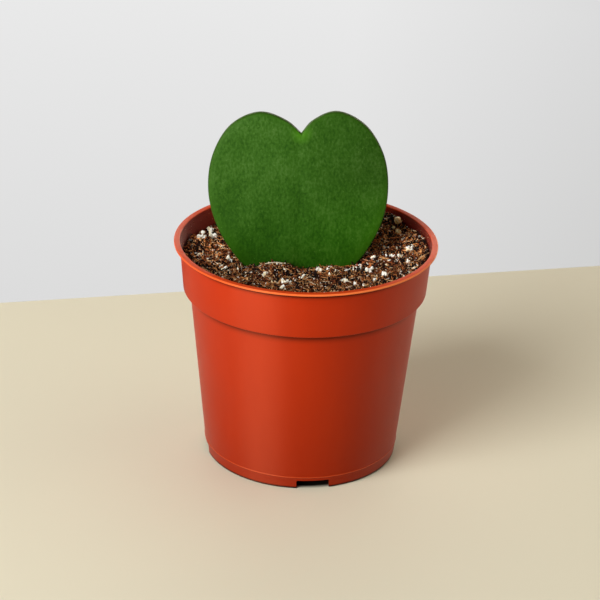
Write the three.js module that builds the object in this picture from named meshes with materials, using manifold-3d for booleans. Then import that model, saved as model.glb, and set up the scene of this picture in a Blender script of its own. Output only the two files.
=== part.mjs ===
// Potted hoya plant: one rooted, heart-shaped leaf in potting mix, in a round moulded nursery pot.
//
// Units are millimetres and +Z is up. The origin is the centre of the pot's foot, on the surface
// that it stands on. The leaf's front faces -Y and its width runs along X. Azimuths are counted
// from the front, -Y, towards +X.

import * as THREE from "three";
import { mergeVertices } from "three/addons/utils/BufferGeometryUtils.js";
import Module from "manifold-3d";

const wasm = await Module();
wasm.setup();

// ---- Driving dimensions ----------------------------------------------------------------------

const CLEARANCE = 0.3; // between touching pieces
const ROUND_STEPS = 64; // facets round the pot and the mix, divisible by four
const SEED = 8084;

const POT = {
  height: 91.4,
  wall: 0.9,
  lipRadius: 52.5,
  lipThickness: 1.05,
  lipRounding: 0.35,
  bandTopRadius: 50.3,
  bandFootRadius: 48.7,
  bandFootZ: 71.5,
  wallTopRadius: 46.1,
  footRadius: 39.0,
  floorUnderZ: 5.0,
  ridgeZ: 5.3,
  ridgeStandOut: 0.15,
  notches: { count: 4, width: 13.2, height: 3.8, rounding: 0.6, azimuth: 8.2 },
  drains: { count: 8, radius: 3.5, circleRadius: 25, sides: 16 },
};

const MIX = {
  centreZ: 83.0,
  // Level at the pot wall, every 45 degrees of azimuth from the front
  wallLevels: [87.2, 88.0, 89.3, 89.0, 86.4, 84.4, 85.9, 87.0],
  topRings: 14,
  // Two low banks pressed against the front of the leaf
  banks: [
    { x: -11, y: -13, width: 9, depth: 5, height: 2.6 },
    { x: 9, y: -13, width: 6, depth: 5, height: 2.2 },
  ],
  // Unevenness: three sizes of swell, each the sum of waves in three directions
  swells: [
    { length: 19, height: 0.55, turn: 0.3 },
    { length: 10, height: 0.4, turn: 0.8 },
    { length: 6, height: 0.28, turn: 1.2 },
  ],
  crumbs: { count: 100, smallest: 0.9, largest: 2.1, sunk: 0.3 },
};

const LEAF = {
  base: new THREE.Vector3(-2.4, -8, 84), // middle of the blade where it leaves the mix
  yaw: 3.5,
  lean: 5,
  roll: 1.8,
  thickness: 3.2,
  outlineSteps: 76,
  // Outline, right half and left half, from the notch round to the buried tip
  notch: [1.4, 54.2],
  rightHalf: [[5.6, 58.3], [15.2, 61.7], [26.4, 56.1], [33.6, 44.4], [35.5, 31.5], [32.9, 16.8], [24.5, 2.2], [12.6, -9.4]],
  leftHalf: [[-12.6, -9.4], [-24.0, 2.2], [-32.4, 16.8], [-35.3, 31.5], [-33.0, 46.0], [-25.6, 57.4], [-14.4, 62.1], [-3.9, 58.2]],
  tip: [0, -15.5],
  middle: [0.4, 29], // the blade's poles lie here, on its front and its back
  edgeSharpness: 14, // the rim's rounding: the higher, the shorter
  curlAcross: 2.6, // how far the side edges lie behind the middle
  curlAlong: 1.8, // the same for the top and the tip
  crease: { depth: 0.45, width: 2.6 },
  stalk: { length: 12, topRadius: 2.1, endRadius: 1.6, sides: 12, steps: 4 },
};

const ROOTS = {
  count: 7,
  crownRadius: 2.2,
  startRadius: 0.95,
  endRadius: 0.5,
  drop: 24,
  spread: 15,
  sides: 6,
  steps: 8,
};

// Larger loose grains that lie on the mix: [x, y, radius]
const PERLITE = [
  [-42.2, 12.4, 2.0], [-38.7, 22.6, 1.6], [-37.4, 15.2, 1.8], [-42.5, -2.6, 1.2],
  [-29.9, -6.6, 1.3], [-31.8, -17.3, 1.2], [-15.6, -20.4, 1.1], [-7.6, -27.7, 1.4],
  [-1.4, -18.6, 1.2], [5.2, -13.9, 1.3], [16.4, -12.0, 1.2], [19.6, -11.4, 1.1],
  [25.0, -11.9, 1.6], [31.0, -23.4, 1.3], [19.7, -25.8, 1.2], [15.4, -24.3, 1.1],
  [26.4, -4.1, 1.2], [34.5, 0.9, 1.3], [37.6, -1.4, 1.1], [41.3, 4.0, 1.5], [40.5, -7.6, 1.2],
];

// Coated fertiliser prills: [x, y, radius]
const PRILLS = [
  [37.0, 27.0, 1.35], [37.4, 21.8, 1.2],
];

const GRAIN_SUNK = 0.35; // share of a loose grain's radius that its middle lies below the mix

// ---- Materials -------------------------------------------------------------------------------

const terracottaPlastic = new THREE.MeshStandardMaterial({ color: 0xb8441f, roughness: 0.42, metalness: 0 });
const pottingMix = new THREE.MeshStandardMaterial({ color: 0x4a2f1e, roughness: 0.95, metalness: 0 });
const waxyLeaf = new THREE.MeshStandardMaterial({ color: 0x376022, roughness: 0.45, metalness: 0 });
const paleRoot = new THREE.MeshStandardMaterial({ color: 0xcdb690, roughness: 0.8, metalness: 0 });
const perlite = new THREE.MeshStandardMaterial({ color: 0xe9dfbc, roughness: 0.9, metalness: 0 });
const prillCoat = new THREE.MeshStandardMaterial({ color: 0xc9a36c, roughness: 0.5, metalness: 0 });

// ---- Helpers ---------------------------------------------------------------------------------

const radians = THREE.MathUtils.degToRad;
const point = (x, y) => new THREE.Vector2(x, y);
const bell = (distance, width) => Math.exp(-((distance / width) ** 2));

// A repeatable draw of numbers from 0 to 1
function seededDraw(seed) {
  let state = seed;
  return () => {
    state = (state + 0x6d2b79f5) | 0;
    let mixed = Math.imul(state ^ (state >>> 15), 1 | state);
    mixed = (mixed + Math.imul(mixed ^ (mixed >>> 7), 61 | mixed)) ^ mixed;
    return ((mixed ^ (mixed >>> 14)) >>> 0) / 4294967296;
  };
}

// A point at a radius, an azimuth from the front and a height
function polar(radius, azimuth, z) {
  return new THREE.Vector3(radius * Math.sin(azimuth), -radius * Math.cos(azimuth), z);
}

// A closed geometry as a solid that can be joined and cut
function solidOf(geometry) {
  const bare = geometry.clone();
  bare.deleteAttribute("normal");
  bare.deleteAttribute("uv");
  const merged = mergeVertices(bare, 1e-4);
  const triangles = [];
  const index = merged.index.array;
  for (let i = 0; i < index.length; i += 3) {
    const [a, b, c] = [index[i], index[i + 1], index[i + 2]];
    if (a !== b && b !== c && c !== a) triangles.push(a, b, c);
  }
  return new wasm.Manifold(
    new wasm.Mesh({
      numProp: 3,
      vertProperties: new Float32Array(merged.attributes.position.array),
      triVerts: new Uint32Array(triangles),
    }),
  );
}

// The largest body of a solid, without the scraps that a cut leaves behind
function largestBody(solid) {
  return solid.decompose().reduce((best, body) => (body.volume() > best.volume() ? body : best));
}

function geometryOf(solid) {
  const mesh = largestBody(solid).getMesh();
  const geometry = new THREE.BufferGeometry();
  geometry.setAttribute("position", new THREE.BufferAttribute(new Float32Array(mesh.vertProperties), 3));
  geometry.setIndex(new THREE.BufferAttribute(new Uint32Array(mesh.triVerts), 1));
  geometry.computeVertexNormals();
  return geometry;
}

function joined(solids) {
  return solids.reduce((whole, solid) => whole.add(solid));
}

// A body of revolution about Z, from a profile of (radius, z) that starts and ends on the axis
function turned(profile, steps) {
  return new THREE.LatheGeometry(profile, steps).rotateX(Math.PI / 2);
}

// A tapered rod bent along a curve, with flat ends
function bentRod(curve, startRadius, endRadius, sides, steps) {
  const rod = new THREE.CylinderGeometry(endRadius, startRadius, 1, sides, steps);
  const frames = curve.computeFrenetFrames(steps);
  const position = rod.attributes.position;
  for (let i = 0; i < position.count; i += 1) {
    const along = position.getY(i) + 0.5;
    const frame = Math.round(along * steps);
    const place = curve
      .getPointAt(along)
      .addScaledVector(frames.normals[frame], position.getX(i))
      .addScaledVector(frames.binormals[frame], -position.getZ(i));
    position.setXYZ(i, place.x, place.y, place.z);
  }
  return rod;
}

// An uneven lump: a twenty-sided ball whose corners are drawn in or out
function lump(radius, unevenness, draw) {
  const ball = mergeVertices(new THREE.IcosahedronGeometry(radius, 0).deleteAttribute("normal").deleteAttribute("uv"));
  const position = ball.attributes.position;
  for (let i = 0; i < position.count; i += 1) {
    const reach = 1 + unevenness * (draw() - 0.5);
    position.setXYZ(i, position.getX(i) * reach, position.getY(i) * reach, position.getZ(i) * reach);
  }
  return ball.rotateX(draw() * Math.PI).rotateZ(draw() * Math.PI);
}

function named(name, geometry, material) {
  const mesh = new THREE.Mesh(geometry, material);
  mesh.name = name;
  return mesh;
}

// ---- Pot -------------------------------------------------------------------------------------

// Outer radius of the tapered wall and of the band above it
function wallRadius(z) {
  return THREE.MathUtils.mapLinear(z, 0, POT.bandFootZ, POT.footRadius, POT.wallTopRadius);
}

function bandRadius(z) {
  return THREE.MathUtils.mapLinear(z, POT.bandFootZ, POT.height, POT.bandFootRadius, POT.bandTopRadius);
}

const floorTopZ = POT.floorUnderZ + POT.wall;
const ledgeZ = POT.bandFootZ + POT.wall; // the inner ledge over the foot of the band
const innerWall = (z) => wallRadius(z) - POT.wall;
const innerBand = (z) => bandRadius(z) - POT.wall;

// Half the pot's cross-section: up the outside from the raised floor's underside, over the lip,
// and down the inside
function potProfile() {
  const round = POT.lipRounding;
  const lipUnderZ = POT.height - POT.lipThickness;
  const halfRidge = 0.15;
  return [
    point(0, POT.floorUnderZ),
    point(innerWall(POT.floorUnderZ), POT.floorUnderZ),
    point(innerWall(0), 0),
    point(wallRadius(0) - 0.2, 0),
    point(wallRadius(0.2), 0.2),
    point(wallRadius(POT.ridgeZ - 2 * halfRidge), POT.ridgeZ - 2 * halfRidge),
    point(wallRadius(POT.ridgeZ) + POT.ridgeStandOut, POT.ridgeZ - halfRidge),
    point(wallRadius(POT.ridgeZ) + POT.ridgeStandOut, POT.ridgeZ + halfRidge),
    point(wallRadius(POT.ridgeZ + 2 * halfRidge), POT.ridgeZ + 2 * halfRidge),
    point(POT.wallTopRadius, POT.bandFootZ),
    point(POT.bandFootRadius - round, POT.bandFootZ),
    point(POT.bandFootRadius, POT.bandFootZ + round),
    point(bandRadius(lipUnderZ), lipUnderZ),
    point(POT.lipRadius - round, lipUnderZ),
    point(POT.lipRadius, lipUnderZ + round),
    point(POT.lipRadius, POT.height - round),
    point(POT.lipRadius - round, POT.height),
    point(innerBand(POT.height) + round, POT.height),
    point(innerBand(POT.height), POT.height - round),
    point(innerBand(ledgeZ), ledgeZ),
    point(innerWall(ledgeZ), ledgeZ),
    point(innerWall(floorTopZ), floorTopZ),
    point(0, floorTopZ),
  ];
}

// An arched cutter for one notch in the foot ring, open downwards
function notchCutter(azimuth) {
  const { width, height, rounding } = POT.notches;
  const reach = 8; // radially, more than the foot ring is thick
  const arch = new THREE.Shape();
  arch.moveTo(-width / 2, -1);
  arch.lineTo(width / 2, -1);
  arch.lineTo(width / 2, height - rounding);
  arch.absarc(width / 2 - rounding, height - rounding, rounding, 0, Math.PI / 2);
  arch.lineTo(-width / 2 + rounding, height);
  arch.absarc(-width / 2 + rounding, height - rounding, rounding, Math.PI / 2, Math.PI);
  const cutter = new THREE.ExtrudeGeometry(arch, { depth: reach, bevelEnabled: false, curveSegments: 3 });
  cutter.rotateX(Math.PI / 2).translate(0, reach / 2 - POT.footRadius, 0).rotateZ(azimuth);
  return cutter;
}

function drainCutter(azimuth) {
  const { radius, circleRadius, sides } = POT.drains;
  const centre = polar(circleRadius, azimuth, POT.floorUnderZ);
  const cutter = new THREE.CylinderGeometry(radius, radius, 4 * POT.wall, sides);
  return cutter.rotateX(Math.PI / 2).translate(centre.x, centre.y, centre.z);
}

function makePot() {
  let solid = solidOf(turned(potProfile(), ROUND_STEPS));
  for (let i = 0; i < POT.notches.count; i += 1) {
    const azimuth = radians(POT.notches.azimuth) + (i / POT.notches.count) * 2 * Math.PI;
    solid = solid.subtract(solidOf(notchCutter(azimuth)));
  }
  for (let i = 0; i < POT.drains.count; i += 1) {
    const azimuth = radians(POT.notches.azimuth) + ((i + 0.5) / POT.drains.count) * 2 * Math.PI;
    solid = solid.subtract(solidOf(drainCutter(azimuth)));
  }
  return named("pot", geometryOf(solid), terracottaPlastic);
}

// ---- Leaf ------------------------------------------------------------------------------------

// The heart's outline in the blade's own plane, x across and y up, evenly stepped from the notch
function heartOutline() {
  const corners = [LEAF.notch, ...LEAF.rightHalf, LEAF.tip, ...LEAF.leftHalf];
  const places = corners.map(([x, y]) => new THREE.Vector3(x, y, 0));
  const curve = new THREE.CatmullRomCurve3(places, true, "centripetal");
  return curve.getSpacedPoints(LEAF.outlineSteps).slice(0, LEAF.outlineSteps);
}

// How far the blade's mid-plane lies behind its own plane: a gentle dome with a crease that runs
// down from the notch
function bladeSetBack(across, up) {
  const [middleAcross, middleUp] = LEAF.middle;
  const side = (across - middleAcross) / 35;
  const end = (up - middleUp) / 35;
  const crease = LEAF.crease.depth * bell(across - middleAcross, LEAF.crease.width);
  return LEAF.curlAcross * side ** 2 + LEAF.curlAlong * end ** 2 + crease;
}

// The blade is a disc with a rounded rim, whose radius is stretched to the heart's outline. Its
// frame has x across, z up and -y to the front.
function bladeGeometry(clearance) {
  const outline = heartOutline();
  const shares = [0, 0.3, 0.55, 0.75, 0.88, 0.95, 0.98, 0.995];
  const halfThickness = (share) =>
    (LEAF.thickness / 2) * Math.sqrt(1 - share ** LEAF.edgeSharpness) + clearance;
  const front = shares.map((share) => point(share, -halfThickness(share)));
  const back = shares.map((share) => point(share, halfThickness(share))).reverse();
  const profile = [...front, point(1, 0), ...back];
  const disc = new THREE.LatheGeometry(profile, outline.length);
  const position = disc.attributes.position;
  const middle = new THREE.Vector3(...LEAF.middle, 0);
  for (let i = 0; i < position.count; i += 1) {
    const step = Math.floor(i / profile.length) % outline.length;
    const { x: share, y: thickness } = profile[i % profile.length];
    const edge = outline[step];
    const before = outline[(step + outline.length - 1) % outline.length];
    const after = outline[(step + 1) % outline.length];
    const outwards = new THREE.Vector3(before.y - after.y, after.x - before.x, 0).normalize();
    const place = middle.clone().lerp(edge, share).addScaledVector(outwards, clearance * share);
    position.setXYZ(i, place.x, bladeSetBack(place.x, place.y) + thickness, place.y);
  }
  return disc;
}

// The stalk leaves the buried tip, in the blade's frame
function stalkCurve(clearance) {
  const startUp = LEAF.tip[1] + 4;
  const endUp = LEAF.tip[1] - LEAF.stalk.length - clearance;
  const setBack = bladeSetBack(0, startUp);
  return new THREE.CatmullRomCurve3([
    new THREE.Vector3(0, setBack, startUp),
    new THREE.Vector3(0.2, setBack + 0.4, (startUp + endUp) / 2),
    new THREE.Vector3(0.8, setBack + 1, endUp),
  ]);
}

function leafPose() {
  const turn = new THREE.Euler(-radians(LEAF.lean), -radians(LEAF.roll), radians(LEAF.yaw), "ZXY");
  return new THREE.Matrix4().makeRotationFromEuler(turn).setPosition(LEAF.base);
}

function leafSolid(clearance) {
  const { topRadius, endRadius, sides, steps } = LEAF.stalk;
  const stalk = bentRod(stalkCurve(clearance), topRadius + clearance, endRadius + clearance, sides, steps);
  return solidOf(bladeGeometry(clearance)).add(solidOf(stalk));
}

function makeLeaf() {
  const mesh = named("leaf", geometryOf(leafSolid(0)), waxyLeaf);
  mesh.applyMatrix4(leafPose());
  return mesh;
}

// ---- Roots -----------------------------------------------------------------------------------

// Where the stalk ends, with the crown of the roots just below it
function crownCentre() {
  const end = stalkCurve(0).getPoint(1).applyMatrix4(leafPose());
  return end.add(new THREE.Vector3(0, 0, -ROOTS.crownRadius - CLEARANCE));
}

function rootCurve(index, centre, draw) {
  const azimuth = ((index + 0.6 * draw()) / ROOTS.count) * 2 * Math.PI;
  const spread = ROOTS.spread * (0.6 + 0.4 * draw());
  const drop = ROOTS.drop * (0.6 + 0.4 * draw());
  const bend = 0.5 * (draw() - 0.5);
  const stations = [[0, 0], [0.35, 0.2], [0.75, 0.55], [1, 1]];
  const places = stations.map(([out, down]) =>
    polar(spread * out, azimuth + bend * down, -drop * down).add(centre),
  );
  return new THREE.CatmullRomCurve3(places);
}

function rootsSolid(clearance) {
  const draw = seededDraw(SEED);
  const centre = crownCentre();
  const crown = new THREE.IcosahedronGeometry(ROOTS.crownRadius + clearance, 1);
  const solids = [solidOf(crown.translate(centre.x, centre.y, centre.z))];
  for (let i = 0; i < ROOTS.count; i += 1) {
    const curve = rootCurve(i, centre, draw);
    const [start, end] = [ROOTS.startRadius + clearance, ROOTS.endRadius + clearance];
    solids.push(solidOf(bentRod(curve, start, end, ROOTS.sides, ROOTS.steps)));
  }
  return joined(solids);
}

function makeRoots() {
  return named("roots", geometryOf(rootsSolid(0)), paleRoot);
}

// ---- Potting mix -----------------------------------------------------------------------------

function wallLevel(azimuth) {
  const levels = MIX.wallLevels;
  const place = THREE.MathUtils.euclideanModulo(azimuth / (2 * Math.PI), 1) * levels.length;
  const before = Math.floor(place);
  const share = THREE.MathUtils.smoothstep(place - before, 0, 1);
  return THREE.MathUtils.lerp(levels[before % levels.length], levels[(before + 1) % levels.length], share);
}

// Height of the mix: a shallow dish up to the level at the wall, with banks and uneven swells
function mixHeight(x, y) {
  const share = Math.min(Math.hypot(x, y) / innerBand(wallLevel(0)), 1);
  const dish = THREE.MathUtils.lerp(MIX.centreZ, wallLevel(Math.atan2(x, -y)), share ** 2);
  const banks = MIX.banks.map(
    (bank) => bank.height * bell(x - bank.x, bank.width) * bell(y - bank.y, bank.depth),
  );
  const swells = MIX.swells.flatMap((swell) =>
    [0, 1, 2].map((way) => {
      const turn = swell.turn + (way * Math.PI) / 3;
      const along = x * Math.cos(turn) + y * Math.sin(turn);
      return swell.height * Math.sin((2 * Math.PI * along) / swell.length + way + swell.length);
    }),
  );
  return [...banks, ...swells].reduce((sum, height) => sum + height, dish);
}

// The body of the mix fills the pot from the floor, over the inner ledge, to the uneven top
function mixBody() {
  const bottomZ = floorTopZ + CLEARANCE;
  const shelfZ = ledgeZ + CLEARANCE;
  const gap = 1.6 * CLEARANCE; // the facets cut the corners of both pieces
  const topRadius = innerBand(MIX.centreZ) - gap;
  const profile = [
    point(0, bottomZ),
    point(innerWall(bottomZ) - gap, bottomZ),
    point(innerWall(ledgeZ) - gap, shelfZ),
    point(innerBand(shelfZ) - gap, shelfZ),
  ];
  for (let ring = 0; ring <= MIX.topRings; ring += 1) {
    profile.push(point(topRadius * (1 - ring / MIX.topRings), MIX.centreZ));
  }
  const body = turned(profile, ROUND_STEPS);
  const position = body.attributes.position;
  for (let i = 0; i < position.count; i += 1) {
    const [x, y, z] = [position.getX(i), position.getY(i), position.getZ(i)];
    if (z > MIX.centreZ - 1) position.setZ(i, mixHeight(x, y));
  }
  return solidOf(body);
}

// Crumbs of peat and bark, sunk into the surface all over it
function crumbs() {
  const draw = seededDraw(SEED + 1);
  const { count, smallest, largest, sunk } = MIX.crumbs;
  const solids = [];
  for (let i = 0; i < count; i += 1) {
    const radius = THREE.MathUtils.lerp(smallest, largest, draw() ** 2);
    const reach = innerBand(MIX.centreZ) - 1.4 * largest;
    const place = polar(reach * Math.sqrt(draw()), draw() * 2 * Math.PI, 0);
    const height = mixHeight(place.x, place.y) - sunk * radius;
    solids.push(solidOf(lump(radius, 0.5, draw).translate(place.x, place.y, height)));
  }
  return joined(solids);
}

// ---- Loose grains ----------------------------------------------------------------------------

function grainPlace([x, y, radius]) {
  return new THREE.Vector3(x, y, mixHeight(x, y) + GRAIN_SUNK * radius + CLEARANCE);
}

function grainGeometry(grain, index, unevenness) {
  return lump(grain[2], unevenness, seededDraw(SEED + 10 + index));
}

function makeGrains(prefix, grains, unevenness, material) {
  return grains.map((grain, index) => {
    const number = String(index + 1).padStart(2, "0");
    const mesh = named(`${prefix}_${number}`, grainGeometry(grain, index, unevenness), material);
    mesh.position.copy(grainPlace(grain));
    return mesh;
  });
}

// A dimple round each loose grain, which keeps the mix clear of it
function dimple(grain) {
  const place = grainPlace(grain);
  const ball = new THREE.IcosahedronGeometry(grain[2] * 1.45 + CLEARANCE, 0);
  return solidOf(ball.translate(place.x, place.y, place.z));
}

function makeMix() {
  const leafHole = leafSolid(CLEARANCE).transform(leafPose().toArray());
  let solid = mixBody().add(crumbs());
  solid = solid.subtract(leafHole).subtract(rootsSolid(CLEARANCE));
  for (const grain of [...PERLITE, ...PRILLS]) solid = solid.subtract(dimple(grain));
  return named("potting_mix", geometryOf(solid), pottingMix);
}

// ---- The whole plant -------------------------------------------------------------------------

const plant = new THREE.Group();
plant.add(makePot(), makeMix(), makeLeaf(), makeRoots());
plant.add(...makeGrains("perlite", PERLITE, 0.35, perlite));
plant.add(...makeGrains("prill", PRILLS, 0.08, prillCoat));

export default plant;
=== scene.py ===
# %% [markdown]
# # A potted hoya leaf
#
# One thick, heart-shaped leaf stands in potting mix in a round moulded nursery pot. The sizes and
# places come from a fixed frame that is loaded first. This script gives that frame its finish: it
# models the fine surfaces, makes the materials and sets up a plain studio.
#
# Lengths are in metres, +Z is up, and the front of the leaf faces -Y.

import math

import bpy
import numpy as np
from mathutils import Matrix, Vector, noise
from mathutils.bvhtree import BVHTree


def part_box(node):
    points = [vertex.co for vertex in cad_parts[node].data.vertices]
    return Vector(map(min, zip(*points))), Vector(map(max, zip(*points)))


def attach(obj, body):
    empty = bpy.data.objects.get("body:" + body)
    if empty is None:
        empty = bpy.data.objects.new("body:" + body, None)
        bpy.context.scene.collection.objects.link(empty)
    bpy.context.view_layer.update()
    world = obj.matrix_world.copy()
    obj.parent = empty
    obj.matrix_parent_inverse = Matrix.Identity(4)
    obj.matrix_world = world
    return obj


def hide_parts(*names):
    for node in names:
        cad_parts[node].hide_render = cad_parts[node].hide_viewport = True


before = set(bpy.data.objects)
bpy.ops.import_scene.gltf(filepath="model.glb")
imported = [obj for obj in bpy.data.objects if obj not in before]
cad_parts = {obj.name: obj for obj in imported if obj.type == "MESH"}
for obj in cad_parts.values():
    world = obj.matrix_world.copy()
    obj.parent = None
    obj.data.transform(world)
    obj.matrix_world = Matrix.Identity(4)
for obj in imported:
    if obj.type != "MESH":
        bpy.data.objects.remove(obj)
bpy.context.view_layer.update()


def search_tree(node):
    """A tree of a node's faces, to find where a line meets it or which point is the nearest."""
    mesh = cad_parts[node].data
    return BVHTree.FromPolygons([v.co for v in mesh.vertices], [f.vertices for f in mesh.polygons])


leaf_tree = search_tree("leaf")
mix_tree = search_tree("potting_mix")
MM = 0.001
SEED = 8084
noise.seed_set(SEED)  # without this, noise_vector gives other values in each run

# %% [markdown]
# ## Camera
#
# The picture was taken with a long lens, from a little above the rim, and the camera was turned
# slightly about its own axis. A long lens keeps the pot's sides nearly parallel. The turn is made
# after the tilt, about the line of sight, so the two don't disturb each other.

# %% Camera
VIEW_TILT = math.radians(25.1)
VIEW_ROLL = math.radians(1.73)
VIEW_DISTANCE = 0.856
VIEW_TARGET = Vector((0, 0, 0.060))
VIEW_SHIFT = (-0.0067, 0.0186)
SENSOR_WIDTH = 36  # in millimetres, as the lens
LENS_LENGTH = 127.2
back_to_camera = Vector((0, -math.cos(VIEW_TILT), math.sin(VIEW_TILT)))
bpy.ops.object.camera_add(location=VIEW_TARGET + VIEW_DISTANCE * back_to_camera)
camera = bpy.context.object
camera.rotation_euler = (
    Matrix.Rotation(math.pi / 2 - VIEW_TILT, 3, "X") @ Matrix.Rotation(VIEW_ROLL, 3, "Z")
).to_euler()
camera.data.sensor_width = SENSOR_WIDTH
camera.data.lens = LENS_LENGTH
camera.data.shift_x, camera.data.shift_y = VIEW_SHIFT
bpy.context.scene.camera = camera

# %% [markdown]
# ## Colours and nodes
#
# A colour is read off as a hex value, which is coded for screens. Shaders add up light, so they
# need the linear value, and one function converts it. A second one adds a node with its settings
# and its inputs, whether an input is a number, a colour or the output of another node.

# %% Helpers for materials
def linear(hex_colour):
    """Turn an sRGB hex colour such as "#c8a080" into the linear colour that a shader needs."""
    parts = [int(hex_colour[i:i + 2], 16) / 255 for i in (1, 3, 5)]
    return [p / 12.92 if p <= 0.04045 else ((p + 0.055) / 1.055) ** 2.4 for p in parts] + [1.0]


def add_node(tree, kind, inputs=None, stops=(), **settings):
    """Add a node with its fields, its inputs by name or number, and a ramp's (place, hex) stops."""
    node = tree.nodes.new(kind)
    for i, (position, hex_colour) in enumerate(stops):
        if i > 1:
            node.color_ramp.elements.new(position)
        node.color_ramp.elements[i].position = position
        node.color_ramp.elements[i].color = linear(hex_colour)
    for field, value in settings.items():
        setattr(node, field, value)
    for key, value in (inputs or {}).items():
        if isinstance(value, bpy.types.NodeSocket):
            tree.links.new(value, node.inputs[key])
        else:
            node.inputs[key].default_value = value
    return node


def new_material(name):
    """Start a material with one Principled shader, and return it with its tree and shader."""
    material = bpy.data.materials.new(name)
    material.use_nodes = True
    tree = material.node_tree
    return material, tree, tree.nodes["Principled BSDF"]


# %% [markdown]
# ## Studio
#
# The table is a plain pale board whose far edge runs a little askew behind the pot. Two soft lamps
# stand at the front left, one above the pot and a wider one low down. They give the broad
# highlight left of the middle and the soft shadow to the right. Two dim lamps at the right fill
# the shaded side. Low panels behind the pot edge its sides with a paler line, and a high lamp
# behind lights the lip and the mix.

# %% Table and lamps
TABLE_TURN = math.radians(12.6)
TABLE_EDGE = 0.1552  # behind the pot's middle
TABLE_WIDTH = 3.0
TABLE_DEPTH = 2.0
TABLE_THICKNESS = 0.02
PAINTED_SHADE_RADIUS = 36.2 * MM  # painted shade: the board is drawn near-black out to here, as it looks under the pot
SHADE_FADE_RADIUS = 38.6 * MM  # and pale from here on

bpy.ops.object.select_all(action="DESELECT")
bpy.ops.mesh.primitive_cube_add(size=1)
table = bpy.context.object
table.name = "table_top"
table.scale = (TABLE_WIDTH, TABLE_DEPTH, TABLE_THICKNESS)
table.location = (0, TABLE_EDGE - TABLE_DEPTH / 2, -TABLE_THICKNESS / 2)
bpy.ops.object.transform_apply(location=True, rotation=True, scale=True)
table.rotation_euler.z = TABLE_TURN

board, tree, shader = new_material("board_with_painted_shade")
place = add_node(tree, "ShaderNodeTexCoord").outputs["Object"]
from_middle = add_node(tree, "ShaderNodeVectorMath", {0: place}, operation="LENGTH").outputs["Value"]
# painted shade: under the pot the board fades from near-black to its own pale colour
unshaded_share = add_node(
    tree, "ShaderNodeMapRange", {"Value": from_middle, "From Min": PAINTED_SHADE_RADIUS, "From Max": SHADE_FADE_RADIUS},
)
paint = add_node(
    tree, "ShaderNodeMix", {0: unshaded_share.outputs[0], 6: linear("#120c08"), 7: linear("#e0dcc6")},
    data_type="RGBA",
)
tree.links.new(paint.outputs[2], shader.inputs["Base Color"])
shader.inputs["Roughness"].default_value = 0.6
shader.inputs["Specular IOR Level"].default_value = 0.35
table.data.materials.append(board)


def add_lamp(name, azimuth, elevation, distance, width, height, power, hex_colour):
    """Add a soft rectangular lamp that looks at the pot, placed by azimuth from the front."""
    turn, lift = math.radians(azimuth), math.radians(elevation)
    away = Vector((math.sin(turn) * math.cos(lift), -math.cos(turn) * math.cos(lift), math.sin(lift)))
    bpy.ops.object.light_add(type="AREA", location=VIEW_TARGET + distance * away)
    lamp = bpy.context.object
    lamp.name = name
    lamp.rotation_euler = away.to_track_quat("Z", "Y").to_euler()
    lamp.data.shape = "RECTANGLE"
    lamp.data.size = width
    lamp.data.size_y = height
    lamp.data.energy = power
    lamp.data.color = linear(hex_colour)[:3]


WARM_FILL = "#fff0dd"
add_lamp("key_lamp", -46, 38, 1.6, 0.85, 0.85, 17.5, "#ffffff")
add_lamp("low_left_fill", -42, 12, 1.6, 1.2, 0.8, 24, "#fffaf2")
add_lamp("right_fill", 95, 12, 1.6, 1.4, 0.7, 6, WARM_FILL)
add_lamp("high_right_fill", 90, 60, 1.8, 1.6, 1.6, 5, WARM_FILL)
add_lamp("back_right_panel", 135, 11, 1.6, 1.4, 0.4, 3.5, WARM_FILL)
add_lamp("back_panel", 180, 11, 1.6, 2.4, 0.38, 10.5, WARM_FILL)
add_lamp("back_left_panel", -125, 11, 1.6, 1.0, 0.4, 2.5, WARM_FILL)
add_lamp("high_back_fill", 180, 40, 1.8, 1.6, 0.8, 3.5, WARM_FILL)

# %% [markdown]
# Past the table's far edge there is only the backdrop, a plain grey that gets lighter upwards and
# darker to the right. It is painted on the world by direction, and only the camera sees it. The
# light that falls on the object from there is a dim, even grey.

# %% Backdrop
world = bpy.data.worlds.new("studio_air")
bpy.context.scene.world = world
world.use_nodes = True
air = world.node_tree
fill = air.nodes["Background"]
fill.inputs["Color"].default_value = linear("#eef0f2")
fill.inputs["Strength"].default_value = 0.03
direction = add_node(
    air, "ShaderNodeSeparateXYZ", {0: add_node(air, "ShaderNodeTexCoord").outputs["Generated"]}
)
up = add_node(
    air, "ShaderNodeMapRange",
    {"Value": direction.outputs["Z"], "From Min": -0.43, "From Max": -0.29, "To Min": 0.5, "To Max": 1.0},
)
right = add_node(
    air, "ShaderNodeMapRange",
    {"Value": direction.outputs["X"], "From Min": 0.02, "From Max": 0.14, "To Min": 0.0, "To Max": 0.5},
)
level = add_node(air, "ShaderNodeMath", {0: up.outputs[0], 1: right.outputs[0]}, operation="SUBTRACT")
grey = add_node(
    air, "ShaderNodeValToRGB", {0: level.outputs[0]},
    stops=[(0.0, "#cdcdcc"), (0.5, "#dbdbdb"), (1.0, "#e9e9e9")],
)
seen = add_node(air, "ShaderNodeBackground", {"Color": grey.outputs[0], "Strength": 1.0})
path = add_node(air, "ShaderNodeLightPath")
split = add_node(
    air, "ShaderNodeMixShader",
    {0: path.outputs["Is Camera Ray"], 1: fill.outputs[0], 2: seen.outputs[0]},
)
air.links.new(split.outputs[0], air.nodes["World Output"].inputs["Surface"])
bpy.context.scene.view_settings.view_transform = "Standard"

# %% [markdown]
# ## Tools for modelling
#
# An operator works on whatever is selected, and the frame arrives selected. So each step first
# selects one object alone. A turned piece starts as one point, which is extruded along half the
# cross-section and then spun once round the pot's axis, just as on a lathe.

# %% Helpers for modelling
def select_only(piece):
    """Deselect everything, then select this piece and make it the active one."""
    bpy.ops.object.select_all(action="DESELECT")
    piece.select_set(True)
    bpy.context.view_layer.objects.active = piece


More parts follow.
